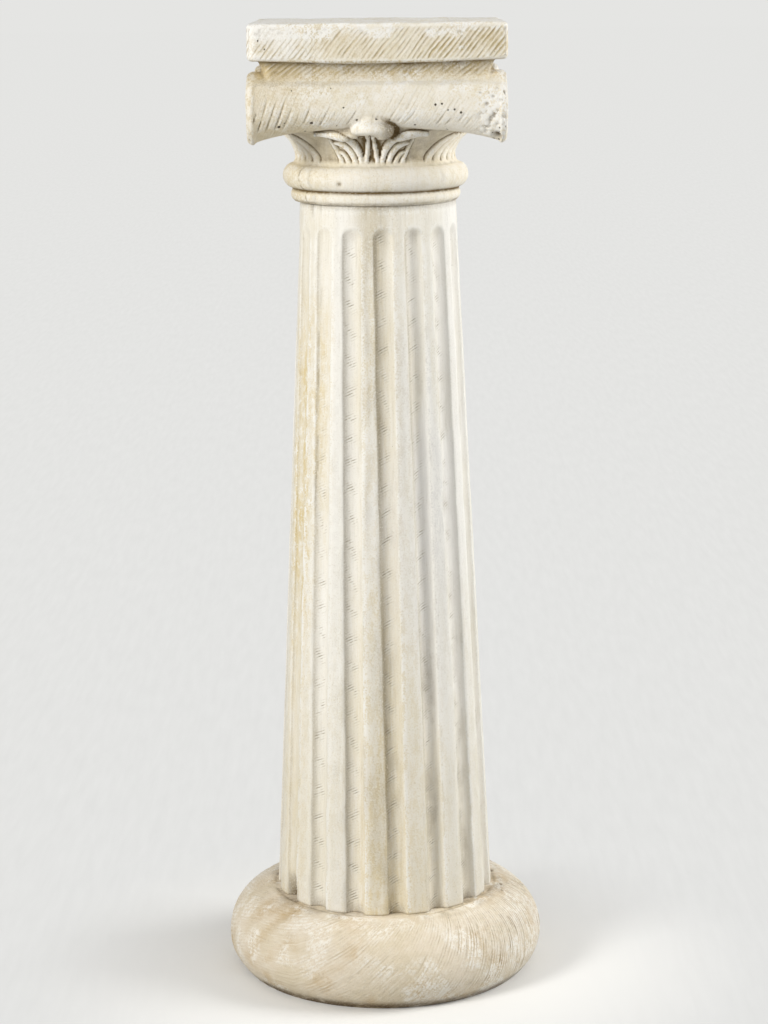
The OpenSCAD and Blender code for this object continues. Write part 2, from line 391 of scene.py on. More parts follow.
# two flutes at the left are worn and filled, the next one only in its upper part, and a notch is left at
# the foot between them
worn = hump(turn, WORN_TURN, 15, 4)
half_worn = hump(turn, WORN_TURN + 22, 7.5, 4) * ramp(z, foot_z + 246, neck_z - 86)
foot_hollow = hump(turn, WORN_TURN + 1.5, 4.2) * ramp(-z, -foot_z - 30, -foot_z - 6)
filled = np.clip(0.78 * worn + 0.55 * half_worn - foot_hollow, 0, 1)
filled = filled * (0.88 + 0.12 * noise(surface, (12, 12, 30), 53))
depth = depth * (1 - filled)
lumps = 0.35 * rough_noise(surface, (30, 30, 70), 55, 2) + 0.07 * noise(surface, (5, 5, 12), 56)
scrape = worn * (0.55 * rough_noise(surface, (3.4, 3.4, 26), 57, 3) + 0.3 * noise(surface, 5, 58))
lane = np.round((turn - first_flute(z)) / FLUTE_STEP)
# the scraper chattered down the left wall of each flute, in groups of ripples 27 mm apart
beat = z / 27 + 5 * lattice_value(np.stack([lane, lane * 0, lane * 0], -1).astype(np.int64), 9)
beat = beat + 0.5 * noise(surface, (12, 12, 60), 59)
in_group = hump(beat % 1, 0.5, 0.17)
ripple = in_group * ramp(depth, 1.5, 4) * ramp(-off_middle, -5, 1) * (1 - filled)
depth = depth - lumps - scrape
# a broken crack runs down beside the worn flutes, and a short dent marks the neck above them
groove_edge = hump(turn + 0.8 * noise(surface, (9, 9, 9), 60), WORN_TURN + 16, 0.5)
groove_edge = groove_edge * ramp(z, foot_z + 296, foot_z + 436)
groove_edge = groove_edge * ramp(noise(surface, (9, 9, 22), 62), -0.6, 0.1)
neck_dent = 0.8 * hump(turn, WORN_TURN + 6, 1.0) * ramp(z, neck_z - 15, neck_z - 5)
out = np.stack([np.sin(np.radians(turn)), -np.cos(np.radians(turn)), turn * 0], -1)
inward = np.maximum(depth + neck_dent + 0.5 * groove_edge + foot_hollow * 4.5 + 0.35, 0)
surface = surface - out * inward[..., None]
shaft = skin(surface, "fluted_shaft")
report(shaft)

# %% Grime and painted shade on the shaft
shaft_points = points_of(shaft)
hollow = hollowness(shaft, 10)
streaks = rough_noise(shaft_points, (7, 7, 70), 61)
front_turn = around(shaft_points)
height = shaft_points[:, 2]
in_flute = padded_row(ramp(depth, 2.0, 6.0))
# the flutes darken at the foot: dirt in the joint with the base, and painted shadow where they meet it
foot_joint_dirt_and_shade = ramp(-height, -foot_z - 14, -foot_z)
near_neck = ramp(height, neck_z - 7, neck_z - 0.5)
flute_grime = in_flute * ramp(rough_noise(shaft_points, (10, 10, 34), 63), -0.1, 0.55)
low_dirt = in_flute * ramp(front_turn, 2, 22) * ramp(-height, -foot_z - 366, -foot_z - 166)
low_dirt = low_dirt * ramp(rough_noise(shaft_points, (9, 9, 24), 69), -0.2, 0.4)
flute_top = in_flute * ramp(height, flute_end - 10, flute_end + 4)
# painted shade on the left wall of each flute, in the middle of the front above all, and along its left edge;
# a painted highlight along its right edge
left_wall_painted_shade = padded_row(hump(off_middle, -7.4, 2.4) * ramp(depth, 0.3, 1.2))
left_edge_painted_shade = padded_row(hump(off_middle, -8.8, 1.5) * ramp(depth, 0.1, 0.6))
right_edge_painted_highlight = padded_row(hump(off_middle, 11.0, 1.3) * ramp(-z, -flute_end - 4, -flute_end + 8))
front_fillet = (1 - in_flute) * hump(front_turn, -4, 16) * ramp(-streaks, -0.35, 0.35)
grime_and_shade = (0.3 * low_dirt + flute_grime * (0.04 + 0.12 * ramp(front_turn, -12, 4)) + 0.22 * front_fillet
         + 0.35 * near_neck + 0.4 * foot_joint_dirt_and_shade * in_flute + 0.25 * flute_top + 0.24 * left_edge_painted_shade
         + left_wall_painted_shade * (0.12 + 0.38 * hump(front_turn, 3, 17)) * ramp(streaks, -0.7, 0.2)
         + 0.9 * padded_row(foot_hollow) + 0.9 * padded_row(neck_dent) + 0.35 * padded_row(groove_edge))
set_values(shaft, "grime_and_shade", grime_and_shade)
print("shaft grime mean", round(float(grime_and_shade.mean()), 3))

# %% Scuffs, painted highlights, stains and the grey side of the shaft
# ochre stains soaked into the worn side, and the right of the front stayed grey
worn_points = padded_row(np.clip(worn + half_worn * 0.8, 0, 1))
lower_half = ramp(-height, -foot_z - 436, -foot_z)
warm_front = hump(front_turn, -5, 10) * ramp(rough_noise(shaft_points, (9, 9, 80), 68), -0.5, 0.3)
below_neck = ramp(-height, -flute_end + 20, -flute_end + 90)
mid_height = ramp(height, foot_z + 200, foot_z + 380) * ramp(-height, -neck_z + 60, -neck_z + 180)
ochre = 0.3 + 0.7 * ramp(rough_noise(shaft_points, (5, 5, 15), 65), -0.25, 0.3)
flecks = worn_points * mid_height * ramp(rough_noise(shaft_points, 3.0, 64), 0.05, 0.35)
rubbed_edges = ramp(-hollow, 0.02, 0.5) * 0.6 + 0.3 * ramp(streaks, 0.1, 0.6)
# the scuff layer also carries a painted highlight along the right edge of each flute
set_values(shaft, "scuff_and_highlight", rubbed_edges * (1 - 0.7 * lower_half) + 0.8 * flecks + 0.9 * right_edge_painted_highlight)
front_half = hump(front_turn, 6, 26)
set_values(shaft, "stain", 0.3 * warm_front + 0.25 * worn_points * (0.4 + 0.6 * below_neck)
           + worn_points * ochre * (0.1 + 0.7 * mid_height) + lower_half * (0.16 + 0.2 * front_half)
           + 0.2 * front_half)
grey_side = ramp(front_turn, 4, 18) * ramp(-front_turn, -60, -34)
grey_side = grey_side * ramp(-height, 66 - neck_z, 146 - neck_z) * ramp(height, foot_z + 146, foot_z + 316)
set_values(shaft, "cool", grey_side * ramp(rough_noise(shaft_points, (12, 12, 160), 67), -0.3, 0.4))
set_values(shaft, "pits", np.zeros(len(shaft_points)))
set_values(shaft, "comb", padded_row(ripple))
set_values(shaft, "across", padded_row(off_middle + lane * 60))
set_values(shaft, "along", padded_row(z))
print("share of the shaft that is worn", round(float((worn_points > 0.5).mean()), 2))

# %% [markdown]
# ## The capital, part by part
# From the shaft upwards: a thin bead called the astragal, a fat torus, a bell that flares out under two
# rolls (the bolsters of an Ionic capital), a neck block hollowed by a cove, and the square abacus. Joining
# them with Boolean modifiers would leave knife-sharp creases. Cast plaster fills its own corners, so the
# parts are only pushed into one another here and then remeshed together, which rounds every joint a little.

# %% Levels and sizes of the capital
roll_half = cap_high[0]
abacus_half = roll_half - 1
roll_end_r = 35.0
abacus_foot_z = cap_high[2] - 36
roll_z = cap_high[2] - 80
roll_y = (cap_high[1] - cap_low[1]) / 2 - roll_end_r
torus_foot_z = cap_low[2] + 13
bell_foot_z = torus_foot_z + 23
neck_foot_z = roll_z - 14
cove_foot_z = abacus_foot_z - 21
bell_r = 75.0
bell_arc_r = 36.0
knob_place = np.array([-4.5, -99.8, cap_high[2] - 100.5])
knob_half = np.array([21.0, 22.5, 10.5])
LEAF_TURN = -4.0
# the round parts were set a little to the left of the block, and the slab a little to its right
ROUND_ASIDE = np.array([-2.0, 0, 0])
SLAB_ASIDE = np.array([1.0, 0, 0])
print("roll axis", roll_y, roll_z, "bell foot", bell_foot_z)


# %% The abacus and the neck: square rings with rounded corners
def square_ring(half, corner, columns):
    """Outline of a square with round corners, and its outward directions, from a corner round to itself."""
    flat = half - corner
    side_share = 2 * flat / (2 * flat + corner * math.pi / 2)
    side_count = int(columns / 4 * side_share)
    corner_count = columns // 4 - side_count
    places, ways = [], []
    for quarter in range(4):
        facing = math.radians(90 * quarter - 90)
        way = np.array([math.cos(facing), math.sin(facing)])
        along = np.array([-way[1], way[0]])
        for step in np.linspace(-flat, flat, side_count, endpoint=False):
            places.append(way * half + along * step)
            ways.append(way)
        for bend in np.radians(np.linspace(0, 90, corner_count, endpoint=False)):
            turned = way * math.cos(bend) + along * math.sin(bend)
            places.append(way * flat + along * flat + turned * corner)
            ways.append(turned)
    return np.array(places), np.array(ways)


def stack_rings(places, ways, levels):
    """Grid of rings, one for each (share of the full size, inset, height)."""
    rings = []
    for share, inset, level in levels:
        ring = (places - ways * inset) * share
        rings.append(np.concatenate([ring, np.full((len(ring), 1), level)], 1))
    return np.array(rings)


slab_places, slab_ways = square_ring(abacus_half, 9, 560)
edge_r = 4.0
edge_bends = np.radians(np.linspace(0, 90, 5))
slab_levels = [(share, edge_r, abacus_foot_z) for share in np.linspace(0.1, 1, 8)[:-1]]
slab_levels += [(1, edge_r * (1 - math.sin(bend)), abacus_foot_z + edge_r * (1 - math.cos(bend)))
                for bend in edge_bends]
side_levels = np.linspace(abacus_foot_z + edge_r, cap_high[2] - edge_r, 16)[1:-1]
slab_levels += [(1, 0, level) for level in side_levels]
slab_levels += [(1, edge_r * (1 - math.cos(bend)), cap_high[2] - edge_r * (1 - math.sin(bend)))
                for bend in edge_bends]
slab_levels += [(share, edge_r, cap_high[2]) for share in np.linspace(1, 0.1, 8)[1:]]
slab = stack_rings(slab_places, slab_ways, slab_levels)
# the underside of the slab sags between its corners, and its top dips here and there
sag = 2.2 - 3.7 * (np.abs(slab[..., :2]).min(-1) / abacus_half) ** 2
slab[..., 2] -= sag * ramp(-slab[..., 2], -abacus_foot_z - 14, -abacus_foot_z)
dip = 0.5 + 0.6 * noise(slab, (17, 17, 60), 82)
slab[..., 2] -= dip * ramp(slab[..., 2], abacus_foot_z, cap_high[2])
abacus = skin(slab + SLAB_ASIDE, "abacus")

neck_places, neck_ways = square_ring(112.0, 12, 400)
levels = np.linspace(neck_foot_z, abacus_foot_z + 3, 26)
insets = 4.5 * hump(levels, abacus_foot_z - 9.5, 8) + 8.0 * ramp(-levels, -roll_z - 22, -roll_z)
neck_levels = [(1, inset, level) for inset, level in zip(insets, levels)]
neck = skin(stack_rings(neck_places, neck_ways, neck_levels), "neck")
report(abacus)
report(neck)


# %% The rolls, with a volute cut into each end
def volute_cut(reach, turn):
    """Depth of the spiral groove on a roll's end, from its eye out to its rim."""
    eye = 5.5
    lap = 11.5
    winding = (reach - eye) / lap - turn / (2 * math.pi)
    groove = hump((winding - np.round(winding)) * lap, 0, 2.1)
    return 2.4 * groove * ramp(reach, eye - 1, eye + 2) * ramp(-reach, 4.5 - roll_end_r, 6.5 - roll_end_r)


def cross_section(turn, side):
    """Radius of a roll's waist by the turn around it: round below, full in front and tall above."""
    forward = side * np.cos(turn)
    deep = np.where(forward > 0, 25.0, 20.5)
    tall = np.where(np.sin(turn) > 0, 34.0, 20.5)
    power = np.where((forward > 0) & (np.sin(turn) > 0), 3.0, 2.0)
    return (np.abs(np.cos(turn) / deep) ** power + np.abs(np.sin(turn) / tall) ** power) ** (-1 / power)


def make_roll(side):
    """One bolster, along X; side is -1 for the front one and 1 for the back one."""
    flat_r = roll_end_r - 6
    rim_len = 8.5
    reach = np.linspace(1, flat_r, 16)
    bends = np.radians(np.linspace(0, 90, 7))
    rim = [(rim_len * (1 - math.cos(b)), flat_r + 6 * math.sin(b)) for b in bends]
    stations = np.linspace(-roll_half + rim_len, roll_half - rim_len, 72)
    places = [(-roll_half, r) for r in reach]
    places += [(-roll_half + inset, r) for inset, r in rim[1:]]
    places += [(x, roll_end_r) for x in stations[1:-1]]
    places += [(roll_half - inset, r) for inset, r in rim[:0:-1]]
    places += [(roll_half, r) for r in reach[::-1]]
    x, r = np.array(places).T[..., None]
    turn = np.linspace(0, 2 * math.pi, 120, endpoint=False)
    heading = math.pi / 2 - turn if side < 0 else math.pi / 2 + turn
    on_end = (np.abs(x) > roll_half - 0.01) * volute_cut(r, heading * np.sign(-side))
    inside = np.abs(x) < roll_half - rim_len + 0.5
    flare = (np.abs(x) / roll_half) ** 3.2
    r = np.where(inside, cross_section(turn, side) * (1 - flare) + r * flare, r)
    grid = np.stack([x - np.sign(x) * on_end + 0 * turn, side * roll_y + r * np.cos(turn),
                     roll_z + r * np.sin(turn)], -1)
    return skin(grid, "roll")


rolls = [make_roll(-1), make_roll(1)]
# a flat band with a shallow groove joins the two volutes on each side: inset, and height over the rolls' axis
BAND_EDGE = [(3, 8), (0, 10), (0, 13), (2.2, 17), (2.2, 23), (0, 27), (0, 30), (3, 32)]
band_places, band_ways = square_ring(114.0, 3, 240)
band_levels = [(1, inset, roll_z + rise) for inset, rise in BAND_EDGE]
band_rows = stack_rings(band_places, band_ways, band_levels)
band_rows[..., 1] *= 0.8
band = skin(band_rows, "volute_band")
report(rolls[0])


# %% The round parts: astragal, torus, bell and knobs
def round_moulding(width_r, low, high, name, flat=1.0):
    """Disc with a half-round edge."""
    tall = (high - low) / 2
    edge = arc(0, 0, 1, -90, 90, 14) * [tall * flat, tall] + [width_r - tall * flat, (low + high) / 2]
    inner = np.linspace(6, width_r - tall * flat, 5)
    profile = np.concatenate([np.stack([inner[:-1], np.full(4, low)], -1), edge,
                              np.stack([inner[-2::-1], np.full(4, high)], -1)])
    return skin(revolve(profile, 260) + ROUND_ASIDE, name)


astragal = round_moulding(84.0, cap_low[2], torus_foot_z + 0.6, "astragal", 0.9)
torus = round_moulding(91.5, torus_foot_z - 0.2, bell_foot_z + 1.2, "torus", 0.85)
fill_r = 10.0
bell_fill = arc(bell_r + 1 + fill_r, bell_foot_z + fill_r, fill_r, 270, 180, 10)
bell_curve = arc(bell_r + bell_arc_r, bell_foot_z + 2, bell_arc_r, 166, 106, 26)
bell_top_r = 101.0
bell_foot = [[8, bell_foot_z - 6], [bell_r + 1 + fill_r, bell_foot_z - 6]]
bell_top = [[bell_top_r, neck_foot_z], [bell_top_r, neck_foot_z + 6], [8, neck_foot_z + 6]]
bell_profile = np.concatenate([bell_foot, bell_fill, bell_curve, bell_top])
bell = skin(revolve(bell_profile, 300) + ROUND_ASIDE, "bell")


def make_knob(side):
    """The curled-over tip of the middle leaf: a fat dome with a rolled lower lip."""
    rise = np.radians(np.linspace(-86, 86, 28))[:, None]
    width = np.abs(np.cos(rise)) ** 0.5
    turn = np.linspace(0, 2 * math.pi, 64, endpoint=False)
    place = knob_place * [-side, -side, 1]
    wide, deep, tall = knob_half
    droop = 0.5 + 0.3 * np.cos(turn) ** 2 - 0.2 * side * np.cos(turn)
    tall = np.where(rise > 0, tall * (1.2 + 0.06 * side * np.cos(turn)), tall * droop)
    grid = np.stack([place[0] + wide * width * np.cos(turn), place[1] + deep * width * np.sin(turn),
                     place[2] + tall * np.sin(rise)], -1)
    return skin(grid, "knob")


def make_lobe(side, way):
    """Pointed leaf that lies under a roll, from the knob outwards."""
    share = np.linspace(0, 1, 26)[:, None]
    turn = np.linspace(0, 2 * math.pi, 20, endpoint=False)
    lobe_turn = np.radians(LEAF_TURN + way * (6 + 29 * share))
    thick = 4.6 * np.sqrt(1 - share) + 0.25
    middle_r = 97.5 - 0.5 * share
    middle_z = bell_foot_z + 32.0 + 1.5 * share
    radius = middle_r + thick * np.cos(turn) * 1.2
    grid = np.stack([radius * np.sin(lobe_turn), radius * -np.cos(lobe_turn),
                     middle_z + thick * 0.85 * np.sin(turn)], -1)
    grid = grid * [-side, -side, 1]
    return skin(grid if way > 0 else grid[:, ::-1], "lobe")


knobs = [make_knob(-1), make_knob(1)]
lobes = [make_lobe(side, way) for side in (-1, 1) for way in (-1, 1)]
report(bell)

# %% One casting: join the parts and remesh them together
def join(pieces, name):
    """Puts several meshes into one object."""
    with bpy.context.temp_override(active_object=pieces[0], selected_editable_objects=pieces):
        bpy.ops.object.join()
    pieces[0].name = name
    return pieces[0]


def apply_modifier(piece, kind, **settings):
    """Adds a modifier with its settings and makes its result the mesh."""
    modifier = piece.modifiers.new(kind.lower(), kind)
    for setting, value in settings.items():
        setattr(modifier, setting, value)
    with bpy.context.temp_override(object=piece, active_object=piece):
        bpy.ops.object.modifier_apply(modifier=modifier.name)


# the joints come out rounded by about one voxel
capital = join([abacus, neck, *rolls, band, astragal, torus, bell, *knobs, *lobes], "bolster_capital")
VOXEL = 1.15
apply_modifier(capital, "REMESH", mode="VOXEL", voxel_size=VOXEL * MM, use_smooth_shade=True)
report(capital)

# %% [markdown]
# ## Leaves on the bell
# The bell carries a palmette under each knob and a ribbed leaf under each volute side. They are low relief,
# so each blade is a bent line drawn on the unrolled bell, and every point of the mesh is lifted by how near
# it lies to such a line. The same distances give the narrow grooves beside the blades, which are painted dark
# with dirt and painted shade.

# %% Blades drawn on the unrolled bell
# each blade: root, bend and tip as (millimetres round from the palmette's middle, millimetres up the bell),
# then its width and height
PALMETTE = [
    ((6.6, -2), (5.0, 14), (1.6, 34), 5.6, 3.6),
    ((10.0, -1), (13, 39), (48, 33), 8.0, 4.0),
    ((15.5, -3), (20, 23), (36, 24), 7.2, 3.4),
    ((21.5, -3), (27, 13), (34, 15.5), 5.2, 2.8),
    ((27.0, -4), (36, 11), (40.5, 28), 5.6, 3.2),
]
SIDE_LEAF = [((59.5 + 13.5 * k, -2), (66 + 12.5 * k, 15), (92 + 9 * k, 29), 9.6 + 0.9 * k, 2.8 + 0.2 * k)
             for k in range(5)]
BELL_GIRTH = 84.0


def near_curve(place, root, bend, tip):
    """Distance of each point from a bent line, and how far along it the nearest point is, from 0 to 1."""
    steps = np.linspace(0, 1, 15)[:, None]
    root, bend, tip = np.array(root), np.array(bend), np.array(tip)
    line = (1 - steps) ** 2 * root + 2 * steps * (1 - steps) * bend + steps**2 * tip
    best = np.full(len(place), 1e9)
    share = np.zeros(len(place))
    for k in range(len(line) - 1):
        start, way = line[k], line[k + 1] - line[k]
        t = np.clip(((place - start) @ way) / (way @ way), 0, 1)
        distance = np.linalg.norm(place - start - t[:, None] * way, axis=1)
        closer = distance < best
        best = np.where(closer, distance, best)
        share = np.where(closer, (k + t) / (len(line) - 1), share)
    return best, share


def leaf_height(points):
    """Height of the leaves over the bare bell, and depth of the grooves beside them."""
    folded = (around(points) - LEAF_TURN + 90) % 180 - 90
    place = np.stack([np.abs(np.radians(folded)) * BELL_GIRTH, points[:, 2] - bell_foot_z], -1)
    place = place + 0.3 * np.stack([noise(points, 12, 71), noise(points, 12, 72)], -1)
    height = np.zeros(len(points))
    groove = np.zeros(len(points))
    for root, bend, tip, wide, tall in PALMETTE + SIDE_LEAF:
        distance, share = near_curve(place, root, bend, tip)
        half = wide / 2 * (0.66 + 0.34 * ramp(share, 0, 0.4)) * (1 - 0.65 * share**4)
        body = np.clip(1 - (distance / half) ** 2, 0, 1) ** 0.5 * tall * (1 - 0.2 * share)
        height = np.maximum(height, body)
        groove = np.maximum(groove, hump(distance - half, 0.3, 0.85) * (1 - 0.3 * share))
    beside_stem = hump(place[:, 0], 7.0, 2.4) * ramp(place[:, 1], 12, 24)
    groove = (groove + 0.6 * beside_stem) * ramp(-height, -1.4, -0.6)
    # the roots of the leaves run out into a smooth fill at the foot of the bell
    clear_of_foot = ramp(place[:, 1], 2.0, 9.0)
    return height * clear_of_foot + 1.6 * (1 - clear_of_foot), groove * clear_of_foot


# %% [markdown]
# ## Combing and wear of the capital
# The slab, the cove and the rolls were combed by hand with one toothed tool, each at its own slant. The cast
# is one mesh now, so every mark is a depth worked out for every point, from its place and the way it faces:
# zones say where a mark may be, and the comb or the noise says how deep. All depths are added up and the
# points are pushed in once, along their normals. A sculpting brush could do it, but not the same way twice.

# %% Zones of the bell, the slab and the cove, and their comb strokes
cap_points = points_of(capital)
cap_out = normals_of(capital)
x, y, z = cap_points.T
from_axis = np.hypot(x, y)
on_bell = ramp(z, bell_foot_z + 0.5, bell_foot_z + 4) * ramp(-z, 10 - roll_z, 16 - roll_z)
on_bell = on_bell * ramp(-from_axis, -bell_top_r - 5, -bell_top_r - 1)
leaves, grooves = leaf_height(cap_points)

COMB_PITCH = 4.0
WAIST_R = 26
# along each side of the square parts, to the right as one looks at it
on_x_side = np.abs(cap_out[:, 0]) > np.abs(cap_out[:, 1])
face_run = np.where(on_x_side, np.sign(cap_out[:, 0]) * y, -np.sign(cap_out[:, 1]) * x)
upright = ramp(-np.abs(cap_out[:, 2]), -0.75, -0.35)
front = ramp(-cap_out[:, 1], 0.1, 0.5)
wander = 1.1 * noise(cap_points, 24, 81)
slant = math.radians(52)
across = face_run * math.sin(slant) - z * math.cos(slant) + wander
along = face_run * math.cos(slant) + z * math.sin(slant)
cove_slant = math.radians(36)
cove_across = face_run * math.sin(cove_slant) - z * math.cos(cove_slant) + wander
on_slab = upright * ramp(z, abacus_foot_z + 1, abacus_foot_z + 4)
on_slab = on_slab * ramp(-z, 3 - cap_high[2], 8 - cap_high[2])
smear_noise = rough_noise(cap_points, (26, 26, 13), 83) + 0.25 * ramp(z, cap_high[2] - 20, cap_high[2])
smeared = ramp(smear_noise, 0.25, 0.4)
slab_depth = on_slab * (0.55 + 0.45 * ramp(face_run, -40, 90)) * (1 - 0.8 * smeared)
slab_marks = slab_depth * combed(across, along, COMB_PITCH, 84, 0.33, 0.25)
in_cove = upright * ramp(z, cove_foot_z + 2, cove_foot_z + 8)
in_cove = in_cove * ramp(-z, -abacus_foot_z + 0.5, -abacus_foot_z + 4)
in_cove = in_cove * ramp(z, cove_foot_z, abacus_foot_z - 5) * (1 - ramp(np.abs(face_run), 100, 108))
cove_marks = in_cove * combed(cove_across, along, COMB_PITCH, 85, 0.4, 0.3)
print("points on the slab's sides", int((on_slab > 0.5).sum()), "and in the cove", int((in_cove > 0.5).sum()))

# %% Comb strokes and pits of the rolls
# roll_turn is 0 where a roll faces straight out, and -0.85 radians where it turns in over the bell
roll_turn = np.arctan2(z - roll_z, np.abs(y) - roll_y)
on_roll = ramp(np.abs(y), roll_y - 6, roll_y + 4) * ramp(-z, -roll_z - 25, -roll_z - 13)
on_roll = on_roll * ramp(z, roll_z - 38, roll_z - 32)
on_roll = on_roll * ramp(-np.abs(cap_out[:, 0]), -0.8, -0.5) * (1 - on_bell)
roll_slant = np.radians(np.interp(face_run, [-120, -70, 0, 120], [68, 64, 60, 58]))
roll_up = roll_turn * WAIST_R
roll_across = face_run * np.sin(roll_slant) - roll_up * np.cos(roll_slant) + wander
roll_marks = on_roll * combed(roll_across, roll_up, 2 * COMB_PITCH, 86, 0.27, 0.2)
stroke_zone = ramp(roll_turn, -0.85, -0.5) * (1 - 0.85 * ramp(roll_turn, -0.1, 0.8))
broken = ramp(noise(cap_points, (8, 8, 13), 87), -0.25, 0.35)
roll_marks = roll_marks * (0.5 + 0.5 * ramp(-face_run, -20, 90)) * stroke_zone * broken
from_knob = [np.linalg.norm((cap_points - knob_place * [-side, -side, 1]) / knob_half, axis=1)
             for side in (-1, 1)]
from_knob = np.minimum(*from_knob)
off_knob = ramp(from_knob, 1.12, 1.22)
roll_marks = roll_marks * off_knob
# the right end of the front roll has crumbled
eroded = ramp(face_run, 86, 108) * on_roll * front
slab_comb = slab_depth * (0.55 + 0.6 * ramp(rough_noise(cap_points, (14, 14, 12), 90), -0.4, 0.4))
combing = np.maximum(slab_comb, 0.6 * in_cove)
roll_comb = (0.3 + 0.2 * ramp(-face_run, 10, 95)) * ramp(roll_turn, -0.85, -0.5) * (0.15 + 0.85 * broken)
# some strokes cut so deep that they show as dark slits
slits = combed(roll_across, roll_up, 2 * COMB_PITCH, 86, 0.13, 0.05) * ramp(roll_turn, -0.85, -0.6)
slits = slits * on_roll * off_knob * (1 - ramp(roll_turn, -0.2, 0.3))
slits = slits * (0.45 + 0.55 * ramp(-face_run, -20, 50))
slits = slits * ramp(noise(cap_points, (9, 9, 8), 89), -0.5, 0.2)
roll_comb = roll_comb * (1 - 0.5 * ramp(roll_turn, 0.0, 0.9))
combing = np.maximum(combing, on_roll * off_knob * roll_comb * (1 - eroded))
pits = on_roll * off_knob * (0.35 + 0.65 * ramp(-roll_turn, -0.4, 0.4) + 0.2 * eroded)
pits = pits + on_slab * (0.2 + 0.5 * smeared)
low_part = z < cove_foot_z
stroke_across = np.where(low_part, roll_across, np.where(in_cove > 0, cove_across, across))
stroke_along = np.where(low_part, roll_up, along)
print("points on the bell", int((on_bell > 0.5).sum()), "and on the rolls", int((on_roll > 0.5).sum()))

# %% Lumps, chips, pits and the larger single marks, and the push that makes them all
lumps = 0.55 * rough_noise(cap_points, 30, 91, 2) + 0.12 * rough_noise(cap_points, 4.5, 92, 2)
chips = ramp(noise(cap_points, 7, 93), 0.35, 0.8) * ramp(hollowness(capital, 20) * -1, 0.35, 1.2)
end_pits = rough_noise(cap_points, 3.3, 94, 2)
pitted = eroded * (1.1 * ramp(end_pits, 0.0, 0.45) + 0.6 * noise(cap_points, 9, 95))
pocks = on_slab * (0.2 + 0.6 * smeared) * ramp(rough_noise(cap_points, 3.6, 104, 2), 0.25, 0.5)
pocks = pocks + eroded * ramp(end_pits, 0.22, 0.6)
pitted = pitted + 0.5 * pocks
corner_place = np.array([roll_half - 11, -106, roll_z - 28])
corner_hole = hump(np.linalg.norm((cap_points - corner_place) / [3.4, 6, 5.5], axis=1), 0, 1)
torus_pit_place = np.array([-37, -84, torus_foot_z + 8])
torus_pit = hump(np.linalg.norm(cap_points - torus_pit_place, axis=1), 0, 2.6)
# painted shade in the crease round the knob, deeper to its right, and on the knob's right-hand side
knob_crease = hump(from_knob, 1.16, 0.1)
knob_shade = ramp(-from_knob, -1.24, -1.13) * ramp(-np.sign(y) * x, 0, 14)
seam_side = hump(around(cap_points), -55, 0.75) * ramp(-z, -bell_foot_z - 2, -bell_foot_z + 2)
seam = seam_side * ramp(noise(cap_points, 2.8, 96), -0.5, 0.3)
sink = (0.62 * slab_marks + 0.26 * cove_marks + 1.0 * roll_marks + 0.9 * slits + 0.9 * chips + pitted
        + 5.5 * corner_hole + 1.2 * torus_pit + 0.3 * seam + 0.3 * knob_crease - lumps)
lift = on_bell * (leaves - 0.7 * grooves)
level_faces = (cap_out[:, 2] < -0.9) * (z < cap_low[2] + 1)
move = (lift - sink - 0.35) * (1 - level_faces)
cap_points = cap_points + cap_out * move[:, None]
cap_points = np.clip(cap_points, cap_low, cap_high)
move_points(capital, cap_points)
report(capital)

# %% [markdown]
# ## Fewer triangles, the dirt of years, and painted shade
# The remeshed casting is far denser than it needs to be. A Decimate modifier thins it where it is smooth,
# and carries along the numbers stored on its points, so the marks are stored first and read back after.
# Dirt and painted shade then go where dirt would settle and shade would fall: beside the leaves, in joints,
# slits and pits, and in wide hollows.

# %% Thin the mesh, with its marks stored on the points that stay
# the hollows beside each stem, under the knob, get painted shade and dirt
stem_hollow_shade = on_bell * ramp(-np.abs(around(cap_points) - LEAF_TURN), -15, -6) * ramp(-leaves, -1.0, 0.2)
marks_before = {"comb": combing, "across": stroke_across, "along": stroke_along,
                "pocks": pocks, "pits": pits, "slits": slits, "seam": seam,
                "hole": np.maximum(corner_hole, 0.75 * torus_pit), "crease": knob_crease, "shade": knob_shade,
                "smeared": on_slab * smeared, "eroded": eroded, "bell": on_bell, "leaf": leaves,
                "leaf_groove": on_bell * grooves, "stem_side": stem_hollow_shade}
for name, values in marks_before.items():
    set_values(capital, name, values)
triangles = sum(len(face.vertices) - 2 for face in capital.data.polygons)
apply_modifier(capital, "DECIMATE", ratio=min(1.0, 190000 / triangles))
capital.data.shade_smooth()
report(capital)


def values_of(piece, name):
    """Reads back a number stored for each point."""
    flat = np.zeros(len(piece.data.vertices), np.float32)
    piece.data.attributes[name].data.foreach_get("value", flat)
    return flat.astype(float)


# thinning can put a point a hair outside the plain solid's box
cap_points = np.clip(points_of(capital), cap_low, cap_high)
move_points(capital, cap_points)
print("points left", len(cap_points))

# %% Grime and painted shade of the capital
x, y, z = cap_points.T
hollow = hollowness(capital, 8)
wide_hollow = hollowness(capital, 40)
mark = {name: values_of(capital, name) for name in marks_before}
# painted shade under the slab, faintly under the abacus, and under the torus; dirt in the joint under the
# astragal
under_slab = ramp(z, abacus_foot_z - 7, abacus_foot_z - 1) * ramp(-z, -abacus_foot_z - 1, -abacus_foot_z + 1)
under_slab = under_slab * ramp(-np.maximum(np.abs(x), np.abs(y)), -abacus_half + 6, -abacus_half + 10)
under_abacus = ramp(z, abacus_foot_z - 22, abacus_foot_z - 8) * ramp(-z, -abacus_foot_z - 1, -abacus_foot_z)
under_torus = hump(z, torus_foot_z, 1.6)
under_astragal = ramp(-z, -cap_low[2] - 4, -cap_low[2] - 1)
patchy = ramp(rough_noise(cap_points, 14, 97), -0.5, 0.4)
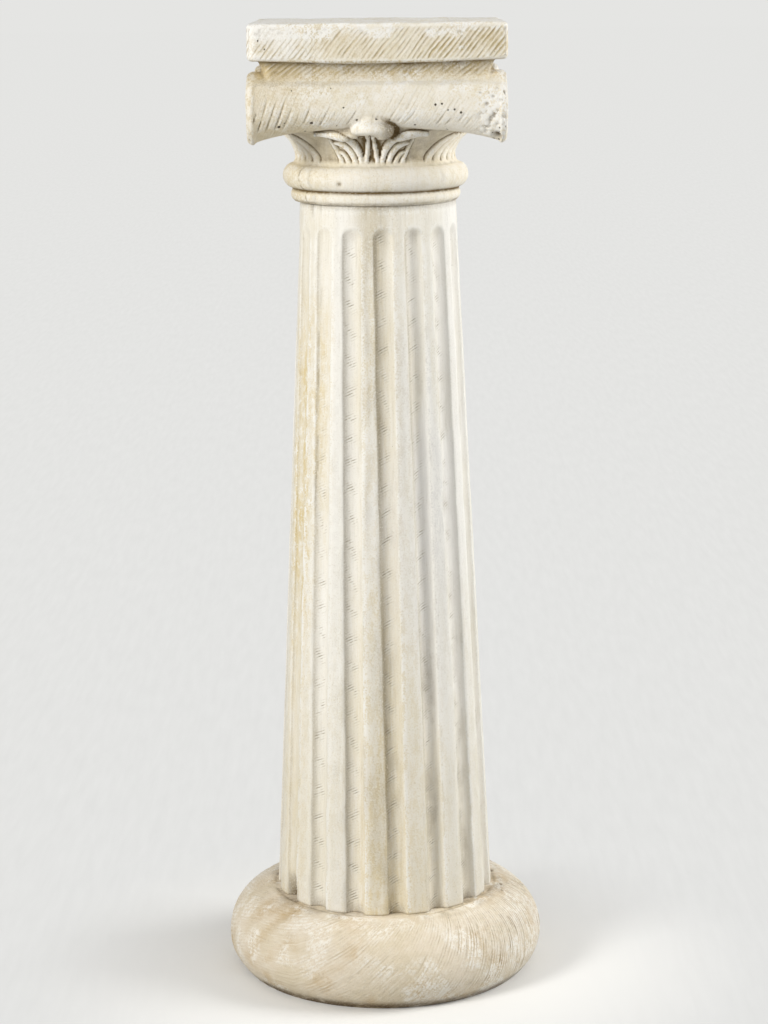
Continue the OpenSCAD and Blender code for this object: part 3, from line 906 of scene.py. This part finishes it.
# the recesses between the leaves are darkened with dirt and with painted shade under the rolls
leaf_recess_dirt_and_shade = mark["bell"] * ramp(-mark["leaf"], -1.4, -0.2)
leaf_recess_dirt_and_shade = leaf_recess_dirt_and_shade * ramp(rough_noise(cap_points, 6, 103), -0.8, 0.5)
leaf_dirt_and_shade = 0.72 * mark["leaf_groove"] + 0.3 * leaf_recess_dirt_and_shade + 0.3 * mark["stem_side"]
# slits, pocks, the corner hole and the torus pit are darkened with dirt and the painted shade inside them;
# the seam crack holds dirt
hole_dirt_and_shade = 0.75 * mark["slits"] + 0.2 * mark["pocks"] + 0.6 * mark["seam"] + 0.65 * mark["hole"]
knob_painted_shade = 0.65 * mark["shade"] + 0.45 * mark["crease"] * ramp(x, -20, 15)
joint_dirt_and_shade = 0.3 * under_slab + 0.1 * under_abacus + 0.8 * under_torus + 0.6 * under_astragal * patchy
# hollows, small and wide, are darkened with dirt and painted shade
hollow_dirt_and_shade = 0.4 * ramp(hollow, 0.04, 0.4) * patchy + 0.12 * ramp(wide_hollow, 0.3, 2.2)
grime_and_shade = leaf_dirt_and_shade + hole_dirt_and_shade + knob_painted_shade + joint_dirt_and_shade + hollow_dirt_and_shade
set_values(capital, "grime_and_shade", grime_and_shade)
print("capital grime mean", round(float(grime_and_shade.mean()), 3))

# %% Scuffs, painted highlights, stains and the cool left side of the slab
on_block = ramp(z, abacus_foot_z, abacus_foot_z + 3)
top_edge = ramp(z, cap_high[2] - 13, cap_high[2] - 3)
top_edge = top_edge * ramp(rough_noise(cap_points, (22, 22, 9), 100), -0.2, 0.2)
left_part = on_block * ramp(-x, -10, 100) * ramp(rough_noise(cap_points, 20, 101), -0.5, 0.3)
roll_part = (1 - on_block) * ramp(z, roll_z - 24, roll_z - 14)
roll_part = roll_part * (0.4 + 0.6 * ramp(rough_noise(cap_points, (16, 16, 12), 102), 0, 0.4))
scuff_and_highlight = np.maximum(mark["smeared"], mark["eroded"]) + 0.5 * ramp(-hollow, 0.05, 0.35)
# the raised leaves get a painted highlight
scuff_and_highlight = scuff_and_highlight + 0.6 * mark["bell"] * ramp(mark["leaf"], 1.5, 3.0)
# the top face of the slab is painted paler, a painted highlight, and its top edges are scuffed
scuff_and_highlight = scuff_and_highlight + 0.8 * ramp(z, cap_high[2] - 2, cap_high[2] - 1) + 0.9 * top_edge
scuff_and_highlight = scuff_and_highlight + 0.7 * left_part + 0.8 * roll_part * (1 - mark["bell"]) * ramp(x, -110, -40)
set_values(capital, "scuff_and_highlight", scuff_and_highlight)
below_block = (1 - on_block) * (1 - mark["bell"])
stain = 0.55 * mark["comb"] * ramp(x, -90, 60) * on_block + 1.1 * under_abacus + 0.2 * mark["bell"]
stain = stain + 0.5 * below_block * ramp(-x, 20, 90)
stain = stain + (0.2 + 0.3 * on_block) * ramp(rough_noise(cap_points, (40, 40, 14), 98), 0, 0.5)
set_values(capital, "stain", stain)
set_values(capital, "cool", on_block * ramp(-x, 40, 115) * ramp(rough_noise(cap_points, 30, 99), -0.6, 0.3))
print("capital scuff mean", round(float(scuff_and_highlight.mean()), 3), "and stain mean", round(float(stain.mean()), 3))

# %% [markdown]
# ## Plaster, aged three ways
# All three castings are gypsum plaster: matt, chalky, and with no shine except where hands have polished it.
# Image textures would need unwrapping, so each finish is built from noise in the object's own space, in
# sizes taken from the real marks, and from the numbers stored on the points: grime that settled in the
# hollows together with painted shade, scuffs that show fresh white plaster together with painted highlights,
# yellow stains that soaked in, cool patches, pits, and how far each point lies across and along the strokes
# of the tool. Colours are sRGB.

# %% A helper that adds one node, and colours
def linear(hex_colour):
    """Linear colour from an sRGB hex value."""
    parts = [int(hex_colour[k:k + 2], 16) / 255 for k in (1, 3, 5)]
    return [c / 12.92 if c <= 0.04045 else ((c + 0.055) / 1.055) ** 2.4 for c in parts] + [1.0]


def add_node(tree, kind, inputs=None, **settings):
    """Adds a node, sets its properties, and links or sets its inputs; hex strings become colours."""
    node = tree.nodes.new("ShaderNode" + kind)
    for setting, value in settings.items():
        setattr(node, setting, value)
    for socket, value in (inputs or {}).items():
        if isinstance(value, bpy.types.NodeSocket):
            tree.links.new(value, node.inputs[socket])
        else:
            value = linear(value) if isinstance(value, str) else value
            node.inputs[socket].default_value = value
    return node


SMOOTH = {"interpolation_type": "SMOOTHSTEP"}
COLOURS = {"data_type": "RGBA"}
TIMES = {"operation": "MULTIPLY"}
TIMES_PLUS = {"operation": "MULTIPLY_ADD"}
print("plaster white", np.round(linear("#efe9d8")[:3], 3))


# %% Lines and streaks left by the tool
# Blender's wave texture repeats every 0.314 units at a scale of 1
WAVE_UNIT = 0.314


def tool_lines(tree, stored, line_mm, line_way, line_turn, line_share):
    """Coordinates along the strokes, the waves of the teeth, and where their lines are cut."""
    strokes = add_node(tree, "CombineXYZ", {0: stored["across"], 1: stored["along"]}).outputs[0]
    turned = add_node(tree, "Mapping", {"Vector": strokes,
                                        "Rotation": (0, 0, math.radians(line_turn))}).outputs[0]
    waves = add_node(tree, "TexWave", {"Vector": turned, "Scale": WAVE_UNIT / line_mm, "Distortion": 1.7,
                                       "Detail": 2.0, "Detail Scale": 0.5},
                     bands_direction=line_way).outputs["Fac"]
    thin = add_node(tree, "MapRange", {0: waves, 1: 0.36, 2: 0.05}, **SMOOTH).outputs[0]
    # single lines start and stop, so a drawn-out noise chooses the stretches that are there
    lane_scale = (0.2, 0.05, 1) if line_way == "X" else (0.15, 0.2, 1)
    lane = add_node(tree, "Mapping", {"Vector": turned, "Scale": lane_scale}).outputs[0]
    presence = add_node(tree, "TexNoise", {"Vector": lane, "Scale": 1.0, "Detail": 3.0}).outputs[0]
    present = add_node(tree, "MapRange", {0: presence, 1: line_share[0], 2: line_share[1]},
                       **SMOOTH).outputs[0]
    cut = add_node(tree, "Math", {0: thin, 1: present}, **TIMES).outputs[0]
    cut = add_node(tree, "Math", {0: cut, 1: stored["comb"]}, use_clamp=True, **TIMES).outputs[0]
    return strokes, waves, cut


print("lines 4 mm apart need a wave scale of", WAVE_UNIT / 4)


# %% Colour in layers, from the body of the plaster to the dirt that lies on it
def layered_colour(tree, stored, tones, patches, mottle, speckle, streaks, waves, cut):
    """Body and warm patches, then cool zones, stains, fresh scuffs with painted highlights, tool lines, and
    grime with painted shade.
    """
    shown = add_node(tree, "MapRange", {0: patches, 1: 0.36, 2: 0.64}, **SMOOTH).outputs[0]
    colour = add_node(tree, "Mix", {0: shown, 6: tones["body"], 7: tones["warm"]}, **COLOURS).outputs[2]
    colour = add_node(tree, "Mix", {0: stored["cool"], 6: colour, 7: tones["cool"]}, **COLOURS).outputs[2]

    fine = add_node(tree, "Mix", {0: 0.4, 2: mottle, 3: speckle}).outputs[0]
    soaked = add_node(tree, "MapRange", {0: fine, 1: 0.42, 2: 0.58}, **SMOOTH).outputs[0]
    soaked = add_node(tree, "MapRange", {0: soaked, 3: 0.65, 4: 1.0}).outputs[0]
    share = add_node(tree, "Math", {0: stored["stain"], 1: soaked}, **TIMES).outputs[0]
    colour = add_node(tree, "Mix", {0: share, 6: colour, 7: tones["stain"]}, **COLOURS).outputs[2]

    rubbed = add_node(tree, "MapRange", {0: fine, 1: 0.57, 2: 0.46}, **SMOOTH).outputs[0]
    share = add_node(tree, "Math", {0: stored["scuff_and_highlight"], 1: rubbed}, **TIMES).outputs[0]
    colour = add_node(tree, "Mix", {0: share, 6: colour, 7: tones["scuff_and_highlight"]}, **COLOURS).outputs[2]

    # the crests between the tool's lines are painted paler: rubbed wear and painted highlight
    bare = add_node(tree, "MapRange", {0: streaks, 1: 0.5, 2: 0.72}, **SMOOTH).outputs[0]
    crest_wear_and_highlight = add_node(tree, "MapRange", {0: waves, 1: 0.6, 2: 0.95}, **SMOOTH).outputs[0]
    crest_wear_and_highlight = add_node(tree, "Math", {0: crest_wear_and_highlight, 1: stored["comb"]}, use_clamp=True, **TIMES).outputs[0]
    share = add_node(tree, "Math", {0: crest_wear_and_highlight, 1: 0.5}, **TIMES).outputs[0]
    share = add_node(tree, "Math", {0: bare, 1: 0.4, 2: share}, use_clamp=True, **TIMES_PLUS).outputs[0]
    colour = add_node(tree, "Mix", {0: share, 6: colour, 7: tones["scuff_and_highlight"]}, **COLOURS).outputs[2]
    colour = add_node(tree, "Mix", {0: cut, 6: colour, 7: tones["line"]}, **COLOURS).outputs[2]

    # the last layer darkens towards the grime tone: dirt, and painted shade where the stored numbers carry it
    drag = add_node(tree, "MapRange", {0: streaks, 1: 0.46, 2: 0.28}, **SMOOTH).outputs[0]
    dirt = add_node(tree, "MapRange", {0: speckle, 1: 0.60, 2: 0.70}, **SMOOTH).outputs[0]
    settled = add_node(tree, "MapRange", {0: speckle, 1: 0.15, 2: 0.5}, **SMOOTH).outputs[0]
    share = add_node(tree, "Math", {0: stored["grime_and_shade"], 1: settled}, **TIMES).outputs[0]
    share = add_node(tree, "Math", {0: drag, 1: 0.12, 2: share}, **TIMES_PLUS).outputs[0]
    share = add_node(tree, "Math", {0: dirt, 1: 0.12, 2: share}, **TIMES_PLUS).outputs[0]
    return add_node(tree, "Mix", {0: share, 6: colour, 7: tones["grime_and_shade"]}, **COLOURS).outputs[2]


print("layers from the bottom: body, warm, cool, stain, scuff, rubbed crests, line, grime")


# %% Air bubbles that burst at the surface and left round pinholes
PINHOLE_R = 2.0
# pinholes are only a dent of the bump, so their dark brown is dirt and the painted shade inside them
PINHOLE_DIRT_AND_SHADE_TONE = "#4d4232"


def pinholes(tree, place, stored, pinhole_mm):
    """1 inside the pinholes: some cells of a Voronoi pattern get one, more of them in the pitted zones."""
    cells = add_node(tree, "TexVoronoi", {"Vector": place, "Scale": 1000 / pinhole_mm})
    chosen = add_node(tree, "SeparateColor", {0: cells.outputs["Color"]}).outputs[0]
    likely = add_node(tree, "Math", {0: stored["pits"], 1: 0.24, 2: chosen}, **TIMES_PLUS).outputs[0]
    size = add_node(tree, "MapRange", {0: likely, 1: 0.92, 2: 1.2, 3: 0.0,
                                       4: PINHOLE_R / pinhole_mm}).outputs[0]
    edge = add_node(tree, "Math", {0: size, 1: cells.outputs["Distance"]}, operation="SUBTRACT").outputs[0]
    return add_node(tree, "MapRange", {0: edge, 1: 0.0, 2: 0.3 / pinhole_mm}).outputs[0]


print("pinholes up to", PINHOLE_R, "mm in radius")

# %% The finish, put together
MOTTLE_MM = 6
# the real grains are finer than 0.2 mm; they are drawn at 1.6 mm, so that they show
SPECKLE_MM = 1.6


def plaster(name, tones, patch_mm, stretch, line_mm, line_way, line_turn, line_depth, line_share,
            streak_mm, streak_depth, pinhole_mm, grit_mm):
    """A matt gypsum finish; sizes and depths are in millimetres, tones are sRGB."""
    material = bpy.data.materials.new(name)
    material.use_nodes = True
    tree = material.node_tree
    tree.nodes.clear()
    place = add_node(tree, "TexCoord").outputs["Object"]
    drawn = add_node(tree, "Mapping", {"Vector": place, "Scale": (1, 1, stretch)}).outputs[0]
    stored = {}
    for mark in ("grime_and_shade", "scuff_and_highlight", "stain", "cool", "pits", "comb", "across", "along"):
        stored[mark] = add_node(tree, "Attribute", attribute_name=mark).outputs["Fac"]
    patches = add_node(tree, "TexNoise", {"Vector": drawn, "Scale": 1000 / patch_mm, "Detail": 5.0,
                                          "Roughness": 0.6}).outputs[0]
    mottle = add_node(tree, "TexNoise", {"Vector": drawn, "Scale": 1000 / MOTTLE_MM, "Detail": 5.0,
                                         "Roughness": 0.7}).outputs[0]
    speckle = add_node(tree, "TexNoise", {"Vector": place, "Scale": 1000 / SPECKLE_MM,
                                          "Detail": 3.0}).outputs[0]
    strokes, waves, cut = tool_lines(tree, stored, line_mm, line_way, line_turn, line_share)
    hair_scale = (1 / streak_mm[0], 1 / streak_mm[1], 1)
    hair = add_node(tree, "Mapping", {"Vector": strokes, "Scale": hair_scale}).outputs[0]
    streaks = add_node(tree, "TexNoise", {"Vector": hair, "Scale": 1.0, "Detail": 4.0,
                                          "Roughness": 0.6}).outputs[0]
    colour = layered_colour(tree, stored, tones, patches, mottle, speckle, streaks, waves, cut)
    pinhole = pinholes(tree, place, stored, pinhole_mm)
    colour = add_node(tree, "Mix", {0: pinhole, 6: colour, 7: PINHOLE_DIRT_AND_SHADE_TONE}, **COLOURS).outputs[2]

    relief = add_node(tree, "Math", {0: speckle, 1: grit_mm}, **TIMES).outputs[0]
    relief = add_node(tree, "Math", {0: streaks, 1: streak_depth, 2: relief}, **TIMES_PLUS).outputs[0]
    relief = add_node(tree, "Math", {0: cut, 1: -line_depth, 2: relief}, **TIMES_PLUS).outputs[0]
    relief = add_node(tree, "Math", {0: pinhole, 1: -1.0, 2: relief}, **TIMES_PLUS).outputs[0]
    bump = add_node(tree, "Bump", {"Height": relief, "Strength": 1.0, "Distance": MM}).outputs[0]
    # chalky gypsum is almost fully matt
    roughness = add_node(tree, "MapRange", {0: mottle, 3: 0.82, 4: 0.97}).outputs[0]
    shader = add_node(tree, "BsdfPrincipled", {"Base Color": colour, "Roughness": roughness,
                                               "IOR": 1.45, "Normal": bump})
    add_node(tree, "OutputMaterial", {0: shader.outputs[0]})
    return material


# a coarse beige mix, combed while it set: its open grain keeps a dusty, sandy look
base_finish = plaster(
    "combed_beige_plaster",
    {"body": "#e4d8c3", "warm": "#dccfb5", "cool": "#dcd8cd", "stain": "#cdb690", "scuff_and_highlight": "#f4efe4",
     "line": "#b5a180", "grime_and_shade": "#76644b"},
    patch_mm=42, stretch=1.0, line_mm=3.0, line_way="X", line_turn=0, line_depth=0.45,
    line_share=(0.44, 0.62), streak_mm=(1.6, 9), streak_depth=0.35, pinhole_mm=9, grit_mm=0.7)
# fine white plaster, scraped smooth: the palest of the three, with drawn-out patches and little ripples
shaft_finish = plaster(
    "scraped_white_plaster",
    {"body": "#f2f0ea", "warm": "#e9e5d9", "cool": "#e6e5e2", "stain": "#dcc998", "scuff_and_highlight": "#f4f2eb",
     "line": "#a79c86", "grime_and_shade": "#84765c"},
    patch_mm=55, stretch=0.3, line_mm=2.6, line_way="Y", line_turn=-24, line_depth=0.35,
    line_share=(0.38, 0.6), streak_mm=(2.2, 40), streak_depth=0.3, pinhole_mm=12, grit_mm=0.2)
# the same plaster, combed in slanting strokes that hold old brown dirt between white rubbed crests with a
# painted highlight
capital_finish = plaster(
    "combed_cream_plaster",
    {"body": "#f1ebdd", "warm": "#e9e1cc", "cool": "#eeebe4", "stain": "#d0be94", "scuff_and_highlight": "#f6f4ee",
     "line": "#b8a67e", "grime_and_shade": "#735f3c"},
    patch_mm=34, stretch=1.0, line_mm=4.0, line_way="X", line_turn=0, line_depth=0.5,
    line_share=(0.38, 0.6), streak_mm=(1.8, 30), streak_depth=0.5, pinhole_mm=6.1, grit_mm=0.45)
for piece, finish, node, slot in ((base, base_finish, "base", "aged_plaster"),
                                  (shaft, shaft_finish, "shaft", "shaft_plaster"),
                                  (capital, capital_finish, "capital", "capital_plaster")):
    print(finish.name, len(finish.node_tree.nodes), "nodes")
    piece.data.materials.clear()
    piece.data.materials.append(finish)
    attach(piece, "root")
    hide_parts(node)
print("finished", base.name, shaft.name, capital.name)

# %% [markdown]
# ## Floor, light and camera
# The column stands on a pale studio floor that runs back out of sight. A soft key lamp at the front left
# models the flutes: the left wall of each one is in shade and the right wall is lit. A lamp level with the
# column on its right lights the right edges, and a weak one in front and a pale sky keep the shadows open.

# %% Floor that fades into an even pale grey
def pale_floor():
    """Matt floor near the column, and an even tone further off, so that no horizon shows."""
    material = bpy.data.materials.new("studio_floor_paint")
    material.use_nodes = True
    tree = material.node_tree
    tree.nodes.clear()
    place = add_node(tree, "TexCoord").outputs["Object"]
    far = add_node(tree, "VectorMath", {0: place}, operation="LENGTH").outputs["Value"]
    brushed = add_node(tree, "Mapping", {"Vector": place, "Scale": (1, 0.12, 1)}).outputs[0]
    cloth = add_node(tree, "TexNoise", {"Vector": brushed, "Scale": 90.0, "Detail": 4.0}).outputs[0]
    tone = add_node(tree, "Mix", {0: cloth, 6: "#e0e0de", 7: "#e9e9e7"}, data_type="RGBA").outputs[2]
    seen = add_node(tree, "LightPath").outputs["Is Camera Ray"]
    cast = add_node(tree, "Mix", {0: seen, 6: "#c9c9c7", 7: "#f4f4f2"}, data_type="RGBA").outputs[2]
    matt = add_node(tree, "BsdfDiffuse", {0: cast}).outputs[0]
    even = add_node(tree, "Emission", {0: tone, 1: 1.0}).outputs[0]
    away = add_node(tree, "MapRange", {0: far, 1: 0.165, 2: 0.42}, interpolation_type="SMOOTHSTEP").outputs[0]
    share = add_node(tree, "Math", {0: seen, 1: away}, operation="MULTIPLY").outputs[0]
    mixed = add_node(tree, "MixShader", {0: share, 1: matt, 2: even}).outputs[0]
    add_node(tree, "OutputMaterial", {0: mixed})
    return material


floor_mesh = bpy.data.meshes.new("studio_floor")
reach = 40.0
corners = [(-reach, -reach, 0), (reach, -reach, 0), (reach, reach, 0), (-reach, reach, 0)]
floor_mesh.from_pydata(corners, [], [(0, 1, 2, 3)])
floor = bpy.data.objects.new("studio_floor", floor_mesh)
bpy.context.scene.collection.objects.link(floor)
floor.data.materials.append(pale_floor())
print("floor", reach * 2, "m square")


# %% Lamps and sky
def area_lamp(name, place, aim, size, power, colour="#ffffff"):
    """Square soft lamp that points at a place."""
    light = bpy.data.lights.new(name, "AREA")
    light.size = size
    light.energy = power
    light.color = linear(colour)[:3]
    lamp = bpy.data.objects.new(name, light)
    bpy.context.scene.collection.objects.link(lamp)
    place = np.array(place)
    way = np.array(aim) - place
    lamp.location = place
    flat = math.hypot(way[0], way[1])
    lamp.rotation_euler = (math.atan2(flat, -way[2]), 0, math.atan2(-way[0], way[1]))
    return lamp


area_lamp("left_key", (-1.81, -1.63, 1.6), (0, 0, 0.75), 0.8, 49, "#fffdf9")
area_lamp("right_rim", (2.15, -0.12, 1.6), (0, 0, 0.75), 1.2, 45, "#fefdfb")
area_lamp("front_soft", (0.4, -2.6, 1.7), (0, 0, 0.95), 1.2, 2, "#ffffff")
sky = bpy.data.worlds.new("studio_sky")
sky.use_nodes = True
sky_tree = sky.node_tree
sky_tree.nodes.clear()
seen = add_node(sky_tree, "LightPath").outputs["Is Camera Ray"]
glow = add_node(sky_tree, "Background", {0: "#fbfbfc", 1: 0.35}).outputs[0]
behind = add_node(sky_tree, "Background", {0: "#e5e5e3", 1: 1.0}).outputs[0]
either = add_node(sky_tree, "MixShader", {0: seen, 1: glow, 2: behind}).outputs[0]
add_node(sky_tree, "OutputWorld", {0: either})
bpy.context.scene.world = sky
bpy.context.scene.view_settings.view_transform = "Standard"

# %% Camera a little above the middle of the column, looking slightly down
camera_data = bpy.data.cameras.new("studio_camera")
camera_data.lens = 93.96
camera_data.clip_end = 100
camera = bpy.data.objects.new("studio_camera", camera_data)
camera.location = (0.003, -2.637, 1.0127)
# the camera was held a little askew: turned about its own line of sight first, then tipped down
camera.rotation_mode = "ZYX"
camera.rotation_euler = (math.radians(90 - 11.59), 0, math.radians(-0.55))
bpy.context.scene.collection.objects.link(camera)
bpy.context.scene.camera = camera
print("camera", tuple(round(v, 3) for v in camera.location))
